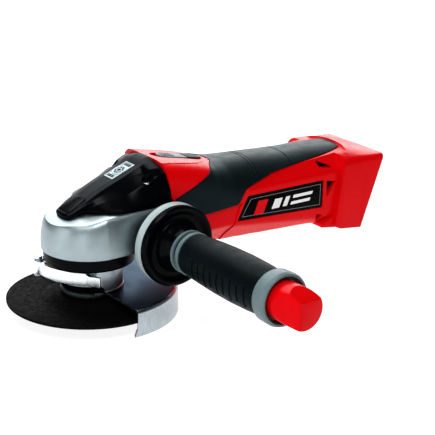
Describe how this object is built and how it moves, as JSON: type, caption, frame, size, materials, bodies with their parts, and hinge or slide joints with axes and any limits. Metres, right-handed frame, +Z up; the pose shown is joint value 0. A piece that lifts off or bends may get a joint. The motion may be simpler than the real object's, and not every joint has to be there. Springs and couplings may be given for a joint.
{
  "type": "angle grinder",
  "caption": "Cordless angle grinder with a side handle, half-round disc guard on a quick clamp, spindle lock, slide switch and a battery foot, fitted with a depressed-centre grinding disc.",
  "frame": {"origin": "centre of the spindle's flat end face", "axes": "+Z up along the spindle, away from the disc; +X from the spindle towards the battery foot; the side handle points along -Y"},
  "size_m": [0.2944, 0.2445, 0.1027],
  "materials": {
    "red_plastic": "satin moulded red",
    "rubber": "matt moulded rubber with fine grain",
    "black_plastic": "satin moulded black",
    "grey_plastic": "satin moulded grey",
    "casting": "fine blasted die casting with a clear lacquer",
    "steel": "bright zinc plated",
    "dark_steel": "oiled, darkened",
    "guard_steel": "pressed sheet, zinc plated",
    "abrasive": "resin bonded grain with woven reinforcement",
    "copper": "bare",
    "ferrite": "sintered",
    "circuit_board": "lacquered"
  },
  "bodies": {
    "housing": {"gear_head": "casting", "bearing_flange": "black_plastic", "lower_bearing": "steel", "upper_bearing": "steel", "flange_screw_1": "dark_steel", "flange_screw_2": "dark_steel", "flange_screw_3": "dark_steel", "flange_screw_4": "dark_steel", "top_cover": "black_plastic", "badge_plate": "casting", "cover_screw_left": "steel", "cover_screw_right": "steel", "front_motor_bearing": "steel", "motor_can": "dark_steel", "magnet_ring": "ferrite", "brush_plate": "black_plastic", "brush_left": "ferrite", "brush_right": "ferrite", "rear_motor_bearing": "steel", "housing_left": "red_plastic", "housing_right": "red_plastic", "grip_left": "rubber", "grip_right": "rubber", "side_panel_left": "black_plastic", "side_panel_right": "black_plastic", "housing_screw_1": "dark_steel", "housing_screw_2": "dark_steel", "housing_screw_3": "dark_steel", "switch_module": "black_plastic", "control_board": "circuit_board", "terminal_block": "black_plastic", "terminal_plus": "copper", "terminal_minus": "copper", "handle_stud": "steel", "handle_core": "black_plastic", "handle_flange_ring": "grey_plastic", "handle_sleeve": "rubber", "handle_end_ring": "grey_plastic", "lock_spring": "steel"},
    "spindle": {"spindle": "steel", "crown_gear": "dark_steel", "inner_flange": "dark_steel", "grinding_disc": "abrasive", "lock_nut": "dark_steel"},
    "rotor": {"motor_shaft": "steel", "pinion": "dark_steel", "fan": "black_plastic", "armature": "dark_steel", "commutator": "copper"},
    "lock": {"lock_button": "black_plastic", "lock_pin": "steel"},
    "slide_switch": {"slide_button": "grey_plastic", "slide_rod": "black_plastic"},
    "guard": {"guard_shield": "guard_steel", "guard_collar": "steel", "clamp_screw": "steel", "lever_pin": "steel"},
    "clamp_lever": {"clamp_lever": "steel"},
    "pin_spanner": {"spanner_head": "red_plastic", "spanner_blade": "steel"}
  },
  "joints": [
    {"name": "spindle_spin", "type": "hinge", "parent": "housing", "child": "spindle", "pos_m": [0, 0, 0], "axis": [0, 0, 1], "continuous": true},
    {"name": "motor_spin", "type": "hinge", "parent": "housing", "child": "rotor", "pos_m": [0, 0, 0.056], "axis": [1, 0, 0], "continuous": true},
    {"name": "lock_press", "type": "slide", "parent": "housing", "child": "lock", "axis": [0, 0, -1], "range_m": [0, 0.0028], "stiffness_N_per_m": 1500, "springref_m": -0.002, "deforming": ["lock_spring"]},
    {"name": "switch_slide", "type": "slide", "parent": "housing", "child": "slide_switch", "axis": [-0.9813, 0, 0.1923], "range_m": [0, 0.0045], "stiffness_N_per_m": 800, "springref_m": -0.003},
    {"name": "guard_swivel", "type": "hinge", "parent": "housing", "child": "guard", "pos_m": [0, 0, 0.02], "axis": [0, 0, -1], "range_deg": [-90, 90]},
    {"name": "lever_swing", "type": "hinge", "parent": "guard", "child": "clamp_lever", "pos_m": [-0.029, 0.0195, 0.0268], "axis": [0, 0, -1], "range_deg": [0, 75]},
    {"name": "spanner_pull", "type": "slide", "parent": "housing", "child": "pin_spanner", "axis": [0, -1, 0], "range_m": [0, 0.09]}
  ],
  "couplings": [
    {"joint": "motor_spin", "follows": "spindle_spin", "ratio": 3.5}
  ]
}
